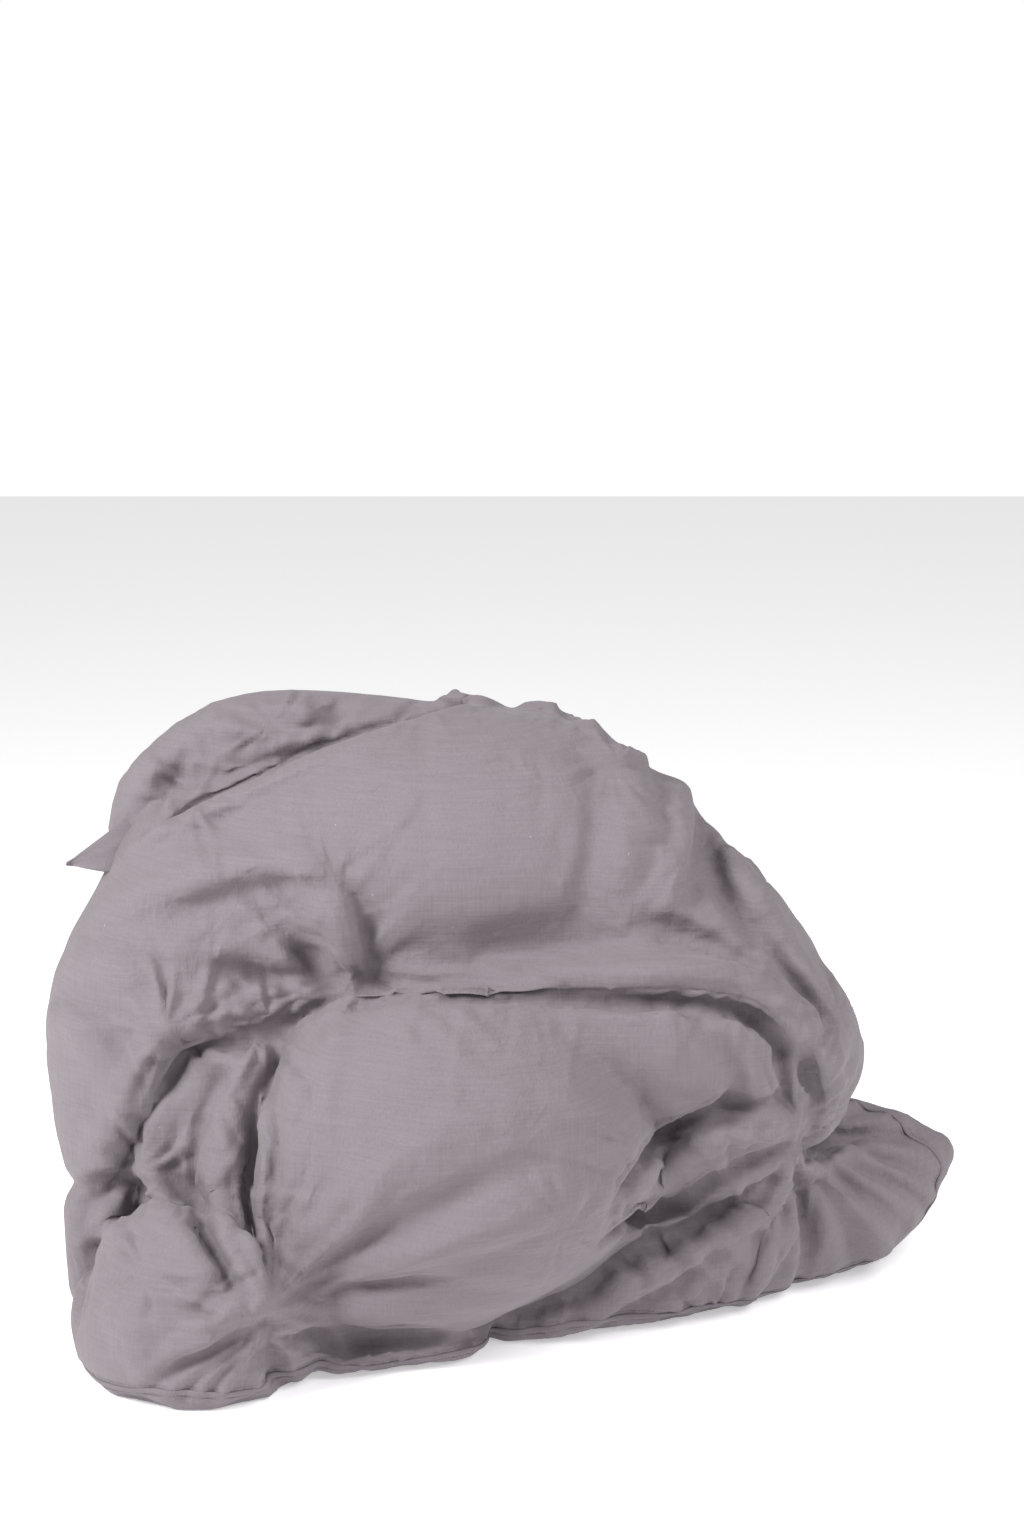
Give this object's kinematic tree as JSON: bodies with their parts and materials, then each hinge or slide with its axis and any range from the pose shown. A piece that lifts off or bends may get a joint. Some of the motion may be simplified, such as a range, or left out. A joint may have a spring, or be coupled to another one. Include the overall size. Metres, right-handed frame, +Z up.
{
  "type": "duvet",
  "caption": "Baffle-box duvet in a buttoned percale cover, folded loosely into a soft heap that stands on the floor, with one empty cover corner sticking out.",
  "frame": {"origin": "on the floor, under the middle of the heap's bounding box", "axes": "+X to the right seen from the front, +Y to the back, +Z up; the front, -Y, is where the fat folds and the floor layer's open end face"},
  "size_m": [1.093, 0.7318, 0.6898],
  "materials": {
    "cover_percale": "matte mauve-grey cotton percale",
    "cover_seams": "matte, the same cloth turned over in seams and hems",
    "ticking": "smooth downproof cotton",
    "down_fill": "loose down",
    "twill_tape": "matte twill",
    "button_shell": "semi-gloss"
  },
  "bodies": {
    "heap": {"cover_back_panel": "cover_percale", "cover_face_panel": "cover_percale", "side_seam_left": "cover_seams", "side_seam_right": "cover_seams", "head_seam": "cover_seams", "placket_under": "cover_seams", "placket_over": "cover_seams", "button_1": "button_shell", "button_2": "button_shell", "button_3": "button_shell", "button_4": "button_shell", "button_5": "button_shell", "button_6": "button_shell", "button_7": "button_shell", "ticking_back": "ticking", "ticking_face": "ticking", "binding_left": "twill_tape", "binding_right": "twill_tape", "binding_head": "twill_tape", "binding_foot": "twill_tape", "corner_loop_head_left": "twill_tape", "corner_loop_head_right": "twill_tape", "corner_loop_foot_left": "twill_tape", "corner_loop_foot_right": "twill_tape", "corner_tie_head_left": "twill_tape", "corner_tie_head_right": "twill_tape", "corner_tie_foot_left": "twill_tape", "corner_tie_foot_right": "twill_tape", "down_box_1_1": "down_fill", "down_box_1_2": "down_fill", "down_box_1_3": "down_fill", "down_box_1_4": "down_fill", "down_box_1_5": "down_fill", "down_box_2_1": "down_fill", "down_box_2_2": "down_fill", "down_box_2_3": "down_fill", "down_box_2_4": "down_fill", "down_box_2_5": "down_fill", "down_box_3_1": "down_fill", "down_box_3_2": "down_fill", "down_box_3_3": "down_fill", "down_box_3_4": "down_fill", "down_box_3_5": "down_fill", "down_box_4_1": "down_fill", "down_box_4_2": "down_fill", "down_box_4_3": "down_fill", "down_box_4_4": "down_fill", "down_box_4_5": "down_fill", "down_box_5_1": "down_fill", "down_box_5_2": "down_fill", "down_box_5_3": "down_fill", "down_box_5_4": "down_fill", "down_box_5_5": "down_fill", "down_box_6_1": "down_fill", "down_box_6_2": "down_fill", "down_box_6_3": "down_fill", "down_box_6_4": "down_fill", "down_box_6_5": "down_fill"},
    "corner": {"loose_corner": "cover_percale"}
  },
  "joints": [
    {"name": "corner_fold", "type": "hinge", "parent": "heap", "child": "corner", "pos_m": [-0.4716, -0.0134, 0.5453], "axis": [0, 1, 0], "range_deg": [-18, 35]}
  ]
}
